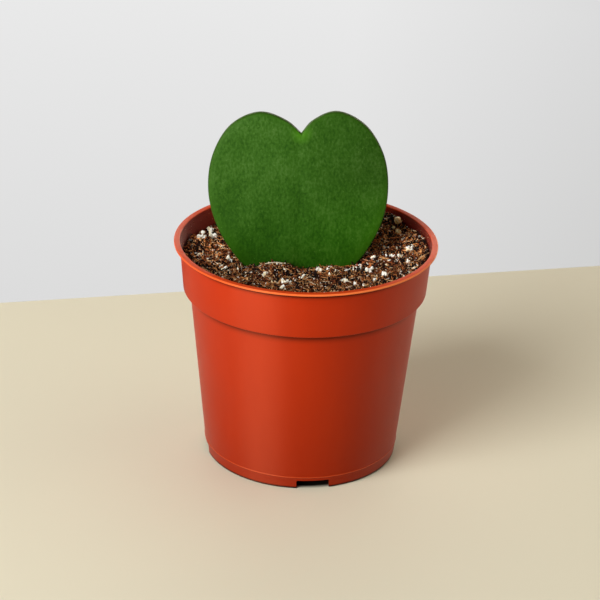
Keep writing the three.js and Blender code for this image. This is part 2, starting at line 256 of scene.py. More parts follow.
def added(primitive, **settings):
    """Deselect everything, add a primitive with this operator, and return the new object."""
    bpy.ops.object.select_all(action="DESELECT")
    primitive(**settings)
    return bpy.context.object


def coordinates(piece):
    """The places of a piece's corners, as rows of x, y and z."""
    places = np.empty(len(piece.data.vertices) * 3)
    piece.data.vertices.foreach_get("co", places)
    return places.reshape(-1, 3)


def move_corners(piece, places):
    """Put a piece's corners at these places."""
    piece.data.vertices.foreach_set("co", places.ravel())
    piece.data.update()


def store(piece, name, values):
    """Store a number for each corner of a piece, as an attribute that a material can read."""
    attribute = piece.data.attributes.new(name, "FLOAT", "POINT")
    attribute.data.foreach_set("value", values)


def filleted(corners, turns=4):
    """Turn (radius, z, rounding) corners into points, with an arc of a few turns at each rounding."""
    points = []
    for i, (r, z, rounding) in enumerate(corners):
        here = Vector((r, z))
        if rounding == 0:
            points.append(here)
            continue
        to_before = (Vector(corners[i - 1][:2]) - here).normalized()
        to_after = (Vector(corners[i + 1][:2]) - here).normalized()
        half = to_before.angle(to_after) / 2
        reach = rounding / math.tan(half)
        middle = here + (to_before + to_after).normalized() * rounding / math.sin(half)
        start = here + to_before * reach - middle
        end = here + to_after * reach - middle
        sweep = start.angle(end)
        for k in range(turns + 1):
            share = k / turns
            arc = (start * math.sin((1 - share) * sweep) + end * math.sin(share * sweep)) / math.sin(sweep)
            points.append(middle + arc)
    return points


def spun(name, points, steps):
    """Extrude one point along half a cross-section of (radius, z), then spin it round Z."""
    piece = added(bpy.ops.mesh.primitive_plane_add, size=MM)
    piece.name = name
    bpy.ops.object.mode_set(mode="EDIT")
    bpy.ops.mesh.select_mode(type="VERT")
    bpy.ops.mesh.select_all(action="SELECT")
    bpy.ops.mesh.merge(type="CENTER")
    bpy.ops.transform.translate(value=(points[0][0], 0, points[0][1]))
    for before, after in zip(points, points[1:]):
        step = (after[0] - before[0], 0, after[1] - before[1])
        bpy.ops.mesh.extrude_region_move(TRANSFORM_OT_translate={"value": step})
    bpy.ops.mesh.select_all(action="SELECT")
    bpy.ops.mesh.spin(steps=steps, angle=2 * math.pi, center=(0, 0, 0), axis=(0, 0, 1))
    bpy.ops.mesh.select_all(action="SELECT")
    bpy.ops.mesh.remove_doubles(threshold=1e-6)
    bpy.ops.mesh.normals_make_consistent(inside=False)
    bpy.ops.object.mode_set(mode="OBJECT")
    print(name, "spun:", len(piece.data.polygons), "faces")
    return piece


def cut_away(piece, cutter):
    """Cut one object out of another with a Boolean, then delete the cutter."""
    select_only(piece)
    modifier = piece.modifiers.new("cut", "BOOLEAN")
    modifier.operation = "DIFFERENCE"
    modifier.solver = "EXACT"
    modifier.object = cutter
    bpy.ops.object.modifier_apply(modifier=modifier.name)
    bpy.data.objects.remove(cutter)


def finish_piece(piece, material, slot, *nodes):
    """Give a piece its material, hang it under the root and hide the frame's nodes it stands for; the slot
    is not used.
    """
    piece.data.materials.clear()
    piece.data.materials.append(material)
    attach(piece, "root")
    if nodes:
        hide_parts(*nodes)


# %% [markdown]
# ## Pot: the plastic
#
# Nursery pots are injection-moulded polypropylene. It comes out of a polished mould, so it is
# smooth and satin, with a broad soft highlight. Up close, a moulded wall is never quite even: the
# melt leaves faint upright streaks, and the skin has a very fine orange peel. Both are noise in
# Object coordinates, where one unit is a metre, so a scale is one over the size of the pattern.

# %% Moulded polypropylene
POT_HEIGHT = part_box("pot")[1].z
LIP_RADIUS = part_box("pot")[1].x
LIP_THICKNESS = 0.85 * MM
BAND_FOOT_Z = 71.5 * MM
PARTING_Z = 5.3 * MM
lip_under_z = POT_HEIGHT - LIP_THICKNESS


def moulded_polypropylene():
    """Satin injection-moulded plastic: a broad soft highlight and faint upright streaks, with painted shade
    and painted highlights.
    """
    material, tree, shader = new_material("moulded_polypropylene_terracotta")
    place = add_node(tree, "ShaderNodeTexCoord").outputs["Object"]
    axes = add_node(tree, "ShaderNodeSeparateXYZ", {0: place}).outputs
    drawn_out = add_node(tree, "ShaderNodeMapping", {"Vector": place, "Scale": (1, 1, 0.12)}).outputs[0]
    streaks = add_node(tree, "ShaderNodeTexNoise", {"Vector": drawn_out, "Scale": 1 / 0.007, "Detail": 3.0})
    clouds = add_node(tree, "ShaderNodeTexNoise", {"Vector": place, "Scale": 1 / 0.03, "Detail": 4.0})
    blend = add_node(
        tree, "ShaderNodeMix", {0: 0.5, 2: streaks.outputs["Fac"], 3: clouds.outputs["Fac"]},
        data_type="FLOAT",
    )
    tint = add_node(
        tree, "ShaderNodeValToRGB", {0: blend.outputs[0]},
        stops=[(0.3, "#a22707"), (0.5, "#a62908"), (0.7, "#aa2c0a")],
    )
    # three tones follow the height: the wall is darker towards the bottom, with a painted contact shadow in
    # a dark line at the foot, and painted shade draws dark lines in the corners under the lip and below the
    # band
    wall_shade_stops = [
        (0.0, "#080808"), (0.008, "#1c1c1c"), (0.0135, "#d2d2d2"), (0.55, "#eeeeee"), (1.0, "#ffffff"),
    ]
    under_lip_shade_stops = [
        (0.0, "#ffffff"), (0.2, "#f2f2f2"), (0.34, "#d8d8d8"), (0.46, "#b0b0b0"), (0.57, "#606060"),
        (1.0, "#484848"),
    ]
    below_band_shade_stops = [
        (0.04, "#ffffff"), (0.15, "#f6f6f6"), (0.26, "#ececec"), (0.36, "#dedede"), (0.46, "#c8c8c8"),
        (0.56, "#a2a2a2"), (0.86, "#929292"), (0.89, "#ffffff"),
    ]
    tones = []
    for start, end, stops in (
        (0.0, 0.085, wall_shade_stops),
        (lip_under_z - 2.8 * MM, lip_under_z, under_lip_shade_stops),
        (BAND_FOOT_Z - 4.5 * MM, BAND_FOOT_Z + 0.5 * MM, below_band_shade_stops),
    ):
        rise = add_node(tree, "ShaderNodeMapRange", {"Value": axes["Z"], "From Min": start, "From Max": end})
        tones.append(add_node(tree, "ShaderNodeValToRGB", {0: rise.outputs[0]}, stops=stops).outputs[0])
    wall_shade_tone, under_lip_shade, below_band_shade = tones
    # the inside and the underside are painted darker and duller: a film of moist peat on the inside, and
    # painted shade on both, where little light reaches
    unseen_side = add_node(tree, "ShaderNodeAttribute", attribute_name="mix_side").outputs["Fac"]
    seen_side = add_node(tree, "ShaderNodeMath", {0: 1.0, 1: unseen_side}, operation="SUBTRACT")
    # on the outside a painted highlight runs along the parting line, and the lip is painted a brighter
    # orange as painted light, since its top faces up to the lamps
    above_line = add_node(tree, "ShaderNodeMath", {0: axes["Z"], 1: PARTING_Z}, operation="SUBTRACT")
    off_line = add_node(tree, "ShaderNodeMath", {0: above_line.outputs[0]}, operation="ABSOLUTE")
    shares = []
    for value, start, end, first, last in (
        (off_line.outputs[0], 0.06 * MM, 0.24 * MM, 0.4, 0.0),
        (axes["Z"], lip_under_z - 0.02 * MM, lip_under_z + 0.08 * MM, 0.0, 1.0),
    ):
        reach = {"Value": value, "From Min": start, "From Max": end, "To Min": first, "To Max": last}
        share = add_node(tree, "ShaderNodeMapRange", reach).outputs[0]
        outside = add_node(
            tree, "ShaderNodeMath", {0: share, 1: unseen_side}, operation="SUBTRACT", use_clamp=True,
        )
        shares.append(outside.outputs[0])
    parting_highlight_share, lip_light_share = shares
    # a painted highlight runs along the lip's outer edge, strongest on the right
    flat_place = add_node(tree, "ShaderNodeMapping", {"Vector": place, "Scale": (1, 1, 0)}).outputs[0]
    from_axis = add_node(tree, "ShaderNodeVectorMath", {0: flat_place}, operation="LENGTH")
    highlight_strength = add_node(
        tree, "ShaderNodeMapRange",
        {"Value": axes["X"], "From Min": -0.035, "From Max": 0.035, "To Min": 0.25, "To Max": 1.0},
    )
    painted_edge_share = add_node(
        tree, "ShaderNodeMapRange",
        {
            "Value": from_axis.outputs["Value"], "From Min": LIP_RADIUS - 0.4 * MM,
            "From Max": LIP_RADIUS - 0.15 * MM, "To Min": 0.0, "To Max": highlight_strength.outputs[0],
        },
    )
    # in turn: the darker inside, painted shade down the wall, the parting line's painted highlight, painted
    # shade under the lip and below the band, the lip's painted light and its edge's painted highlight
    colour = tint.outputs[0]
    for share, other, blend_type in (
        (unseen_side, linear("#701206"), "MIX"),
        (1.0, wall_shade_tone, "MULTIPLY"),
        (parting_highlight_share, linear("#e0683c"), "MIX"),
        (seen_side.outputs[0], under_lip_shade, "MULTIPLY"),
        (1.0, below_band_shade, "MULTIPLY"),
        (lip_light_share, linear("#cc3e10"), "MIX"),
        (painted_edge_share.outputs[0], linear("#f08044"), "MIX"),
    ):
        colour = add_node(
            tree, "ShaderNodeMix", {0: share, 6: colour, 7: other}, data_type="RGBA", blend_type=blend_type,
        ).outputs[2]
    tree.links.new(colour, shader.inputs["Base Color"])
    gloss = add_node(
        tree, "ShaderNodeMapRange",
        {"Value": clouds.outputs["Fac"], "From Min": 0.3, "From Max": 0.7, "To Min": 0.44, "To Max": 0.52},
    )
    dulled = add_node(
        tree, "ShaderNodeMix", {0: unseen_side, 2: gloss.outputs[0], 3: 0.8}, data_type="FLOAT",
    )
    tree.links.new(dulled.outputs[0], shader.inputs["Roughness"])
    peel = add_node(tree, "ShaderNodeTexNoise", {"Vector": place, "Scale": 1 / 0.0009, "Detail": 1.0})
    bump = add_node(
        tree, "ShaderNodeBump", {"Height": peel.outputs["Fac"], "Strength": 0.05, "Distance": 0.0002},
    )
    tree.links.new(bump.outputs[0], shader.inputs["Normal"])
    shader.inputs["IOR"].default_value = 1.45
    shader.inputs["Specular IOR Level"].default_value = 0.6
    shader.inputs["Specular Tint"].default_value = linear("#ffa078")
    # the tangent runs round the pot, and a quarter turn draws the highlight out upright
    shader.inputs["Anisotropic"].default_value = 0.9
    shader.inputs["Anisotropic Rotation"].default_value = 0.25
    around = add_node(tree, "ShaderNodeTangent", direction_type="RADIAL", axis="Z")
    tree.links.new(around.outputs[0], shader.inputs["Tangent"])
    return material


# %% [markdown]
# ## Pot: the shape
#
# Half the cross-section runs from the middle of the raised floor out to the foot ring, up the
# tapered wall, over the band and the lip, and down the inside. The corners carry the roundings
# that a mould has. The fine raised line low on the wall is where two parts of the mould meet.

# %% Pot
WALL = 0.9 * MM
LIP_WIDTH = 2.3 * MM
GROOVE = 0.35 * MM  # a fine undercut below the lip
BAND_TOP_RADIUS = 50.3 * MM
BAND_FOOT_RADIUS = 48.7 * MM
WALL_TOP_RADIUS = 46.1 * MM
FOOT_RADIUS = 39.0 * MM
FLOOR_UNDER_Z = 5.0 * MM
PARTING_STAND_OUT = 0.2 * MM
POT_STEPS = 192


def wall_radius(z):
    """The outer radius of the tapered wall at a height."""
    return FOOT_RADIUS + (WALL_TOP_RADIUS - FOOT_RADIUS) * z / BAND_FOOT_Z


def band_radius(z):
    """The outer radius of the band at a height."""
    share = (z - BAND_FOOT_Z) / (POT_HEIGHT - BAND_FOOT_Z)
    return BAND_FOOT_RADIUS + (BAND_TOP_RADIUS - BAND_FOOT_RADIUS) * share


ledge_z = BAND_FOOT_Z + WALL
floor_top_z = FLOOR_UNDER_Z + WALL
pot_corners = [
    (0, FLOOR_UNDER_Z, 0),
    (wall_radius(FLOOR_UNDER_Z) - WALL, FLOOR_UNDER_Z, 0.3 * MM),
    (wall_radius(0) - WALL, 0, 0.1 * MM),
    (wall_radius(0), 0, 0.62 * MM),
    (wall_radius(PARTING_Z - 0.3 * MM), PARTING_Z - 0.3 * MM, 0),
    (wall_radius(PARTING_Z) + PARTING_STAND_OUT, PARTING_Z, 0.08 * MM),
    (wall_radius(PARTING_Z + 0.3 * MM), PARTING_Z + 0.3 * MM, 0),
    (wall_radius(BAND_FOOT_Z), BAND_FOOT_Z, 0.3 * MM),
    (BAND_FOOT_RADIUS, BAND_FOOT_Z, 0.45 * MM),
    (band_radius(lip_under_z), lip_under_z - GROOVE, 0),
    (band_radius(lip_under_z) - GROOVE, lip_under_z, 0),
    (LIP_RADIUS, lip_under_z, 0.2 * MM),
    (LIP_RADIUS, POT_HEIGHT, 0.35 * MM),
    (LIP_RADIUS - LIP_WIDTH, POT_HEIGHT, 0.2 * MM),
    (LIP_RADIUS - LIP_WIDTH - 0.12 * MM, POT_HEIGHT - 0.5 * MM, 0),
    (band_radius(POT_HEIGHT) - WALL, POT_HEIGHT - 3 * MM, 0.4 * MM),
    (band_radius(ledge_z) - WALL, ledge_z, 0.6 * MM),
    (wall_radius(ledge_z) - WALL, ledge_z, 0.6 * MM),
    (wall_radius(floor_top_z) - WALL, floor_top_z, 0.8 * MM),
    (0, floor_top_z, 0),
]
pot = spun("nursery_pot", filleted(pot_corners), POT_STEPS)

# %% [markdown]
# The foot has four notches for drainage, and the floor has a ring of round drain holes. Each is a
# primitive at its size and place, bevelled where the mould is rounded, and cut out of the pot.

# %% Notches and drain holes
NOTCH_COUNT = 4
NOTCH_WIDTH = 13.2 * MM
NOTCH_HEIGHT = 3.8 * MM
NOTCH_REACH = 4 * MM  # across the foot ring, and more than it is thick
NOTCH_ROUNDING = 0.6 * MM
NOTCH_AZIMUTH = math.radians(8.2)
DRAIN_COUNT = 8
DRAIN_RADIUS = 3.5 * MM
DRAIN_CIRCLE = 25.0 * MM


def notch_cutter(azimuth):
    """A block that stands across the foot ring, with its two upper edges rounded."""
    cutter = added(bpy.ops.mesh.primitive_cube_add, size=1)
    cutter.scale = (NOTCH_WIDTH, NOTCH_REACH, 2 * NOTCH_HEIGHT)
    cutter.location.y = -FOOT_RADIUS
    bpy.ops.object.transform_apply(location=True, scale=True)
    bpy.ops.object.mode_set(mode="EDIT")
    bpy.ops.mesh.select_mode(type="EDGE")
    bpy.ops.mesh.select_all(action="DESELECT")
    bpy.ops.object.mode_set(mode="OBJECT")
    for edge in cutter.data.edges:
        ends = [cutter.data.vertices[i].co for i in edge.vertices]
        along_radius = abs(ends[0].x - ends[1].x) < MM and abs(ends[0].z - ends[1].z) < MM
        edge.select = along_radius and ends[0].z > 0
    bpy.ops.object.mode_set(mode="EDIT")
    bpy.ops.mesh.bevel(offset=NOTCH_ROUNDING, segments=4)
    bpy.ops.object.mode_set(mode="OBJECT")
    cutter.data.transform(Matrix.Rotation(azimuth, 4, "Z"))
    return cutter


def drain_cutter(azimuth):
    """A short round rod that stands through the floor."""
    centre = (DRAIN_CIRCLE * math.sin(azimuth), -DRAIN_CIRCLE * math.cos(azimuth), FLOOR_UNDER_Z)
    cutter = added(
        bpy.ops.mesh.primitive_cylinder_add, vertices=32, radius=DRAIN_RADIUS, depth=4 * WALL,
        location=centre,
    )
    bpy.ops.object.transform_apply(location=True)
    return cutter


for i in range(NOTCH_COUNT):
    cut_away(pot, notch_cutter(NOTCH_AZIMUTH + i / NOTCH_COUNT * 2 * math.pi))
for i in range(DRAIN_COUNT):
    cut_away(pot, drain_cutter(NOTCH_AZIMUTH + (i + 0.5) / DRAIN_COUNT * 2 * math.pi))
places = coordinates(pot)
from_axis = np.hypot(places[:, 0], places[:, 1])
outer = np.where(places[:, 2] > ledge_z, band_radius(places[:, 2]), wall_radius(places[:, 2]))
on_mix_side = (from_axis < outer - 0.6 * WALL) & (places[:, 2] > floor_top_z - 0.1 * MM)
on_mix_side |= (from_axis < LIP_RADIUS - LIP_WIDTH - 0.1 * MM) & (places[:, 2] > ledge_z)
on_mix_side |= from_axis < wall_radius(0) - 1.5 * WALL
store(pot, "mix_side", on_mix_side.astype(float))
print("pot:", len(places), "corners,", on_mix_side.sum(), "of them on the mix's side")
select_only(pot)
bpy.ops.object.shade_smooth_by_angle(angle=math.radians(35))
finish_piece(pot, moulded_polypropylene(), "pot_plastic", "pot")

# %% [markdown]
# ## Leaf: the shape
#
# The leaf is a fleshy plate as thick as a coin or two, cut off square at the edge and rounded
# there. So it starts as a spun disc with a rounded rim. Each corner of the disc is then moved: its
# angle picks a point on the heart's outline, and its radius says how far out to that point it
# lies. That keeps the rim's rounding even all round, and the notch at the top stays a sharp V.

# %% Outline of the heart
# in millimetres, in the leaf's own plane: across and up from where it enters the mix
LEAF_NOTCH = (1.4, 53.4)
LEAF_RIGHT = [
    (5.6, 58.0), (15.2, 61.4), (26.1, 56.0), (33.3, 44.4),
    (35.4, 31.5), (33.2, 16.8), (25.2, 2.2), (12.6, -9.4),
]
LEAF_TIP = (0, -15.5)
LEAF_LEFT = [
    (-12.6, -9.4), (-24, 2.2), (-32.3, 16.8), (-35.3, 31.5),
    (-33.1, 45.8), (-25.6, 57.3), (-14.3, 61.9), (-3.9, 58.2),
]
LEAF_STEPS = 240
LEAF_MIDDLE = np.array((0.4, 29.0))
CURVE_STEPS = 60  # between two corners, before the curve is stepped evenly


def curve_through(corners, step_count):
    """Evenly stepped points on a smooth open curve through the corners (Catmull-Rom)."""
    before = 2 * np.array(corners[0]) - corners[1]
    after = 2 * np.array(corners[-1]) - corners[-2]
    knots = np.array([before, *corners, after])
    fine = []
    for p0, p1, p2, p3 in zip(knots, knots[1:], knots[2:], knots[3:]):
        gaps = [max(np.linalg.norm(b - a) ** 0.5, 1e-6) for a, b in ((p0, p1), (p1, p2), (p2, p3))]
        start = (p1 - p0) / gaps[0] - (p2 - p0) / (gaps[0] + gaps[1]) + (p2 - p1) / gaps[1]
        end = (p2 - p1) / gaps[1] - (p3 - p1) / (gaps[1] + gaps[2]) + (p3 - p2) / gaps[2]
        for t in np.linspace(0, 1, CURVE_STEPS, endpoint=False):
            fine.append(
                (2 * t ** 3 - 3 * t ** 2 + 1) * p1 + (t ** 3 - 2 * t ** 2 + t) * start * gaps[1]
                + (3 * t ** 2 - 2 * t ** 3) * p2 + (t ** 3 - t ** 2) * end * gaps[1]
            )
    fine = np.array(fine + [knots[-2]])
    walked = np.concatenate([[0], np.cumsum(np.linalg.norm(np.diff(fine, axis=0), axis=1))])
    even = np.linspace(0, walked[-1], step_count + 1)
    return np.stack([np.interp(even, walked, fine[:, k]) for k in (0, 1)], axis=1)


heart = curve_through([LEAF_NOTCH, *LEAF_RIGHT, LEAF_TIP, *LEAF_LEFT, LEAF_NOTCH], LEAF_STEPS)[:-1]
print("heart:", np.ptp(heart, axis=0).round(1), "mm")

# %% Leaf
# in millimetres, like the outline
LEAF_BASE = Vector((-2.4, -8.0, 84.0))
LEAF_YAW, LEAF_LEAN, LEAF_ROLL = math.radians(3.5), math.radians(5), math.radians(1.8)
LEAF_HALF_WIDTH = 35
LEAF_HALF_THICKNESS = 1.6
RIM_ROUNDING = 0.6  # how far in from the rim the surface starts to turn
INNER_SHARE = 0.9  # of the disc's radius: from here out is the rounded rim
CURL_LEFT = 1.4  # how far the left edge lies behind the middle
CURL_RIGHT = 3.2
CURL_TOP = 3.0
CURL_BOTTOM = 1.8
CREASE_DEPTH = 0.2
CREASE_WIDTH = 2.6
SWELL_HEIGHT = 0.35
SWELL_LENGTH = 14
FACE_RINGS = 14
RIM_RINGS = 7

half_disc = [(INNER_SHARE * k / FACE_RINGS, -1.0) for k in range(FACE_RINGS + 1)]
rim_turns = [k / RIM_RINGS * math.pi / 2 for k in range(1, RIM_RINGS + 1)]
half_disc += [(INNER_SHARE + (1 - INNER_SHARE) * math.sin(turn), -math.cos(turn)) for turn in rim_turns]
half_disc += [(share, -height) for share, height in reversed(half_disc[:-1])]
leaf = spun("heart_leaf", half_disc, LEAF_STEPS)

disc = coordinates(leaf)
radius = np.hypot(disc[:, 0], disc[:, 1])
step = np.round(np.arctan2(disc[:, 0], disc[:, 1]) / (2 * np.pi) * LEAF_STEPS).astype(int) % LEAF_STEPS
to_edge = heart[step] - LEAF_MIDDLE
edge_length = np.linalg.norm(to_edge, axis=1)
walked_out = np.where(
    radius <= INNER_SHARE + 1e-6,
    radius / INNER_SHARE * (edge_length - RIM_ROUNDING),
    edge_length - RIM_ROUNDING * (1 - radius) / (1 - INNER_SHARE),
)
across, up = (LEAF_MIDDLE + to_edge * (walked_out / edge_length)[:, None]).T
side = (across - LEAF_MIDDLE[0]) / LEAF_HALF_WIDTH
end = (up - LEAF_MIDDLE[1]) / LEAF_HALF_WIDTH
set_back = np.where(side < 0, CURL_LEFT, CURL_RIGHT) * side ** 2
set_back += np.where(end > 0, CURL_TOP, CURL_BOTTOM) * end ** 2
set_back += CREASE_DEPTH * np.exp(-((across - LEAF_MIDDLE[0]) / CREASE_WIDTH) ** 2)
swell = SWELL_HEIGHT * np.array([
    noise.noise(Vector((x, y, 3.1)) / SWELL_LENGTH) for x, y in zip(across, up)
])
blade = np.stack([across, set_back + swell + disc[:, 2] * LEAF_HALF_THICKNESS, up], axis=1)
leaf_pose = (
    Matrix.Rotation(LEAF_YAW, 3, "Z") @ Matrix.Rotation(-LEAF_LEAN, 3, "X")
    @ Matrix.Rotation(-LEAF_ROLL, 3, "Y")
)
leaf_places = (blade @ np.array(leaf_pose).T + np.array(LEAF_BASE)) * MM
move_corners(leaf, leaf_places)
select_only(leaf)
bpy.ops.object.mode_set(mode="EDIT")
bpy.ops.mesh.select_all(action="SELECT")
bpy.ops.mesh.normals_make_consistent(inside=False)
bpy.ops.object.mode_set(mode="OBJECT")
bpy.ops.object.shade_smooth()
print("leaf:", leaf_places.min(axis=0).round(4), leaf_places.max(axis=0).round(4))

# %% [markdown]
# ## Leaf: the skin
#
# A waxy cuticle covers the leaf. It gives the green a soft, wide sheen, most where the surface
# leans towards the lamp. The green is finely mottled, and it is fresher and more yellow in a band
# just inside the rim and below the notch. So the distance from the rim is stored on the mesh as an
# attribute that the material can read.

# %% Distance from the rim
RIM_REACH = 10  # millimetres in from the rim, where the stored distance reaches 1

rim_distance = np.array([
    np.sqrt(((heart - place) ** 2).sum(axis=1).min()) for place in np.stack([across, up], axis=1)
])
store(leaf, "rim_distance", (rim_distance / RIM_REACH).clip(0, 1))
notch_place = Vector(leaf_places[np.argmin(np.hypot(across - LEAF_NOTCH[0], up - LEAF_NOTCH[1]))])
print("notch at", [round(value / MM, 1) for value in notch_place], "mm")


# %% Waxy cuticle
def waxy_cuticle():
    """A waxy leaf skin: a wide soft sheen over a finely mottled green, darker at its very edge, with painted
    shade and light.
    """
    material, tree, shader = new_material("waxy_leaf_cuticle")
    place = add_node(tree, "ShaderNodeTexCoord").outputs["Object"]
    axes = add_node(tree, "ShaderNodeSeparateXYZ", {0: place}).outputs
    drawn_out = add_node(tree, "ShaderNodeMapping", {"Vector": place, "Scale": (1, 1, 0.65)}).outputs[0]
    fine = add_node(
        tree, "ShaderNodeTexNoise",
        {"Vector": drawn_out, "Scale": 1 / 0.0009, "Detail": 3.0, "Roughness": 0.6},
    )
    patchy = add_node(tree, "ShaderNodeTexNoise", {"Vector": drawn_out, "Scale": 1 / 0.006, "Detail": 2.0})
    mottle = add_node(
        tree, "ShaderNodeMix", {0: 0.7, 2: patchy.outputs["Fac"], 3: fine.outputs["Fac"]},
        data_type="FLOAT",
    )
    green = add_node(
        tree, "ShaderNodeValToRGB", {0: mottle.outputs[0]},
        stops=[(0.34, "#1b4304"), (0.5, "#2b550f"), (0.66, "#3d6324")],
    )
    rim = add_node(tree, "ShaderNodeAttribute", attribute_name="rim_distance").outputs["Fac"]
    to_notch = add_node(tree, "ShaderNodeVectorMath", {0: place, 1: notch_place}, operation="DISTANCE")
    specks = add_node(tree, "ShaderNodeTexVoronoi", {"Vector": place, "Scale": 1 / 0.0022})
    shares = []
    for value, start, end, first, last in (
        (axes["Z"], 0.088, 0.122, 0.0, 1.0),
        (axes["Z"], 0.095, 0.12, 0.65, 0.2),
        (axes["Z"], 0.1, 0.12, 1.4, 0.78),
        (to_notch.outputs["Value"], 0.0, 0.005, 0.6, 0.0),
        (rim, 0.035, 0.085, 0.6, 0.0),
        (specks.outputs["Distance"], 0.05, 0.1, 0.3, 0.0),
    ):
        reach = {"Value": value, "From Min": start, "From Max": end, "To Min": first, "To Max": last}
        shares.append(add_node(tree, "ShaderNodeMapRange", reach).outputs[0])
    upness, band_end, right_shade_and_light, notch_share, painted_edge_share, speck_share = shares
    # the blade is painted a deeper, purer green low down: painted shade, where less light reaches it
    low_shade_tone = add_node(
        tree, "ShaderNodeValToRGB", {0: upness}, stops=[(0.0, "#d4eda0"), (1.0, "#ffffff")],
    )
    # inside the rim it is fresher, in a band that is wider low down
    rim_share = add_node(
        tree, "ShaderNodeMapRange",
        {"Value": rim, "From Min": 0.05, "From Max": band_end, "To Min": 0.65, "To Max": 0.0},
    )
    # towards its right the blade is painted darker at the top and lighter at the bottom: painted shade and
    # painted light
    side_shade_and_light = add_node(
        tree, "ShaderNodeMapRange",
        {"Value": axes["X"], "From Min": -0.006, "From Max": 0.026, "To Min": 1.0, "To Max": right_shade_and_light},
    )
    colour = green.outputs[0]
    for share, other, blend_type in (
        (1.0, low_shade_tone.outputs[0], "MULTIPLY"),
        (rim_share.outputs[0], linear("#275304"), "MIX"),
        (1.0, side_shade_and_light.outputs[0], "MULTIPLY"),
        (notch_share, linear("#4a8a10"), "MIX"),
        # the very edge is darker: partly its own colour, partly painted shade over the rounded rim's sheen
        (painted_edge_share, linear("#274806"), "MIX"),
        (speck_share, linear("#6f9a45"), "MIX"),
    ):
        colour = add_node(
            tree, "ShaderNodeMix", {0: share, 6: colour, 7: other}, data_type="RGBA", blend_type=blend_type,
        ).outputs[2]
    tree.links.new(colour, shader.inputs["Base Color"])
    shader.inputs["Roughness"].default_value = 0.5
    shader.inputs["IOR"].default_value = 1.45
    shader.inputs["Specular IOR Level"].default_value = 0.25
    shader.inputs["Specular Tint"].default_value = linear("#e4ffc4")
    bump = add_node(
        tree, "ShaderNodeBump", {"Height": mottle.outputs[0], "Strength": 0.3, "Distance": 0.0004},
    )
    tree.links.new(bump.outputs[0], shader.inputs["Normal"])
    return material


finish_piece(leaf, waxy_cuticle(), "leaf_green", "leaf")

# %% [markdown]
# ## Potting mix: the bed
#
# The mix is a bed of peat with thousands of crumbs on it. The heights of the bed are measured on
# the frame by dropping a line on it at each point of a grid. The slot round the leaf and the
# dimples round the larger grains are closed with a maximum filter and then a minimum filter,
# which fills whatever is narrower than the filter. The crumbs rise a little above the bed, so it
# is then let down by as much, and a little more along the leaf, where the mix has settled. Round
# each larger grain the bed stays low enough to show it.

# %% Heights of the mix
GRID_STEP = 0.5 * MM
CLOSING = 13  # grid steps, wider than the slot that the leaf stands in
MIX_RADIUS = 48.6 * MM
DROP_RADIUS = MIX_RADIUS * 0.985  # from further out, a line might miss the frame's mix
CRUMB_RISE = 0.5 * MM
LEAF_DIP = 0.5 * MM
DIP_REACH = 3.5 * MM
grid_side = 2 * int(MIX_RADIUS / GRID_STEP) + 5
grid_axis = (np.arange(grid_side) - grid_side // 2) * GRID_STEP


def dropped_height(x, y):
    """Where a line dropped at (x, y) meets the frame's potting mix."""
    pull = min(1.0, DROP_RADIUS / max(math.hypot(x, y), MM))
    start = Vector((x * pull, y * pull, POT_HEIGHT + 0.02))
    place = mix_tree.ray_cast(start, Vector((0, 0, -1)))[0]
    return place.z if place else floor_top_z


def slide_filter(heights, size, pick):
    """The highest or lowest value within a square of this many grid steps."""
    for axis in (0, 1):
        shifted = [np.roll(heights, shift, axis=axis) for shift in range(-(size // 2), size // 2 + 1)]
        heights = pick(shifted, axis=0)
    return heights


grain_nodes = sorted(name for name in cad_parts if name.startswith(("perlite_", "prill_")))
grain_boxes = [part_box(name) for name in grain_nodes]
grain_middles = np.array([(low + high) / 2 for low, high in grain_boxes])
grain_radii = np.array([max(high - low) / 2 for low, high in grain_boxes])
dropped = np.array([[dropped_height(x, y) for x in grid_axis] for y in grid_axis])
closed = slide_filter(slide_filter(dropped, CLOSING, np.max), CLOSING, np.min)
neighbours = [np.roll(closed, shift, axis) for axis in (0, 1) for shift in (1, -1)]
smooth = sum(neighbours, closed) / (1 + len(neighbours))
from_leaf = np.array([
    [leaf_tree.find_nearest((x, y, height))[3] for x, height in zip(grid_axis, row)]
    for y, row in zip(grid_axis, smooth)
])
mix_heights = smooth - CRUMB_RISE - LEAF_DIP * np.exp(-(from_leaf / DIP_REACH) ** 2)
# round a larger grain the bed lies well below its middle, and rises again from 1.7 radii out
for middle, radius in zip(grain_middles, grain_radii):
    apart = np.hypot(grid_axis[None, :] - middle[0], grid_axis[:, None] - middle[1])
    most = middle[2] - 0.75 * radius + 0.5 * np.maximum(0, apart - 1.7 * radius)
    mix_heights = np.minimum(mix_heights, most)
print("mix heights:", round(mix_heights.min() / MM, 1), "to", round(mix_heights.max() / MM, 1), "mm")


def mix_height(x, y):
    """Height of the mix at arrays of x and y, between the four nearest points of the grid."""
    u = np.clip((np.asarray(x) - grid_axis[0]) / GRID_STEP, 0, grid_side - 1.001)
    v = np.clip((np.asarray(y) - grid_axis[0]) / GRID_STEP, 0, grid_side - 1.001)
    i, j = v.astype(int), u.astype(int)
    s, t = v - i, u - j
    near = mix_heights[i, j] * (1 - t) + mix_heights[i, j + 1] * t
    far = mix_heights[i + 1, j] * (1 - t) + mix_heights[i + 1, j + 1] * t
    return near * (1 - s) + far * s


